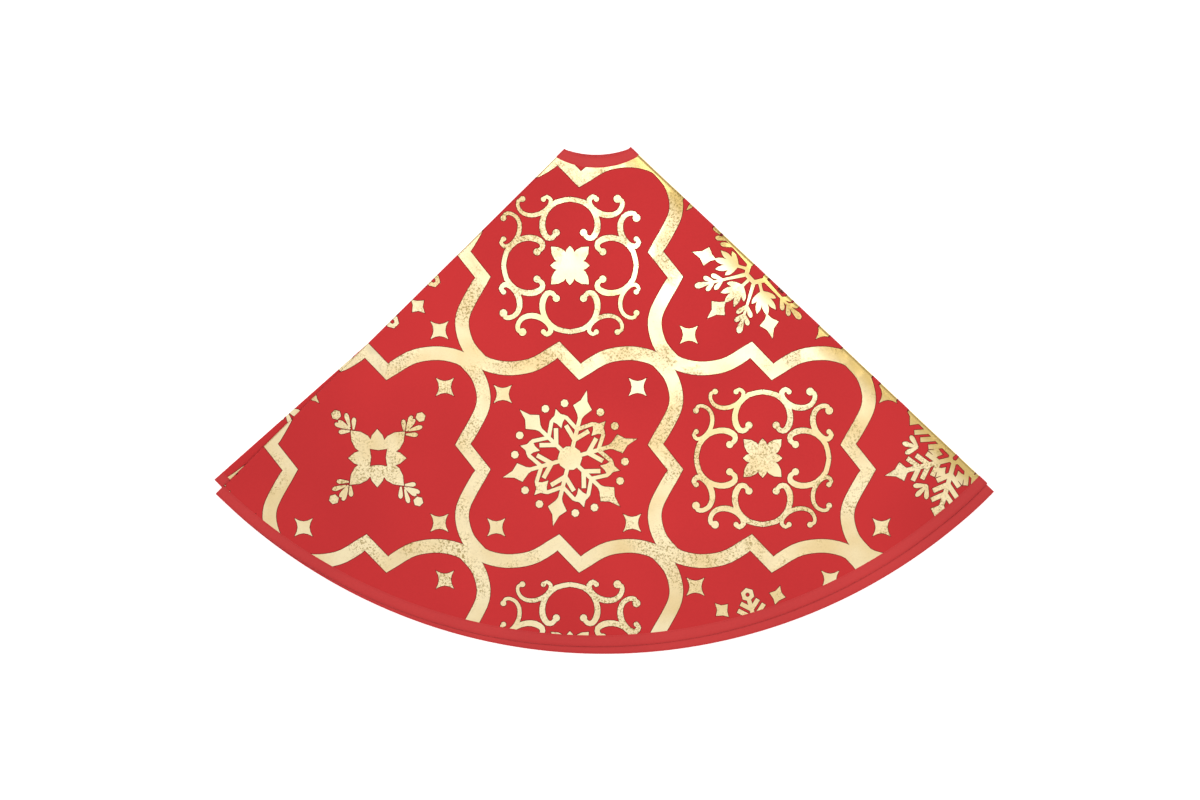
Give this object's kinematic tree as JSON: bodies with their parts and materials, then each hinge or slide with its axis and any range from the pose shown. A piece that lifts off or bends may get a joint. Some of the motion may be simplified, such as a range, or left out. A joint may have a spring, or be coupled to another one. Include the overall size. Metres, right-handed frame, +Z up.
{
  "type": "tree skirt",
  "caption": "Round lined tree skirt with bound hem and neck, folded flat into a four-layer quarter that opens to a half disc.",
  "frame": {"origin": "middle of the folded skirt's box, on the surface it lies on", "axes": "+Z up out of the stack, +X across the wedge towards the outer right fold, +Y from the hem towards the neck"},
  "size_m": [0.8902, 0.5786, 0.0071],
  "materials": {
    "face": "printed satin weave",
    "lining": "plain weave",
    "tape": "twill tape",
    "hook_loop": "hook and loop pile",
    "label": "satin, blank"
  },
  "bodies": {
    "lower_half": {"care_label": "label", "face_cloth_layer_3": "face", "face_cloth_layer_4": "face", "hem_binding_layer_3": "tape", "hem_binding_layer_4": "tape", "hook_pad_1": "hook_loop", "hook_pad_2": "hook_loop", "hook_pad_3": "hook_loop", "inner_right_fold_face": "face", "inner_right_fold_hem_turn": "tape", "inner_right_fold_lining": "lining", "inner_right_fold_neck_turn": "tape", "lining_layer_3": "lining", "lining_layer_4": "lining", "loop_pad_1": "hook_loop", "loop_pad_2": "hook_loop", "loop_pad_3": "hook_loop", "neck_binding_layer_3": "tape", "neck_binding_layer_4": "tape", "outer_right_fold_face": "face", "outer_right_fold_hem_turn": "tape", "outer_right_fold_lining": "lining", "outer_right_fold_neck_turn": "tape", "slit_hem_layer_3": "face", "slit_hem_layer_4": "face"},
    "upper_half": {"face_cloth_layer_1": "face", "face_cloth_layer_2": "face", "hem_binding_layer_1": "tape", "hem_binding_layer_2": "tape", "left_fold_face": "face", "left_fold_hem_turn": "tape", "left_fold_lining": "lining", "left_fold_neck_turn": "tape", "lining_layer_1": "lining", "lining_layer_2": "lining", "neck_binding_layer_1": "tape", "neck_binding_layer_2": "tape"}
  },
  "joints": [
    {"name": "right_fold_hinge", "type": "hinge", "parent": "lower_half", "child": "upper_half", "pos_m": [0.23384, 0.09225, 0.00355], "axis": [-0.7193, 0.6947, 0], "range_deg": [0, 180], "deforming": ["inner_right_fold_face", "inner_right_fold_hem_turn", "inner_right_fold_lining", "inner_right_fold_neck_turn", "outer_right_fold_face", "outer_right_fold_hem_turn", "outer_right_fold_lining", "outer_right_fold_neck_turn"]}
  ]
}
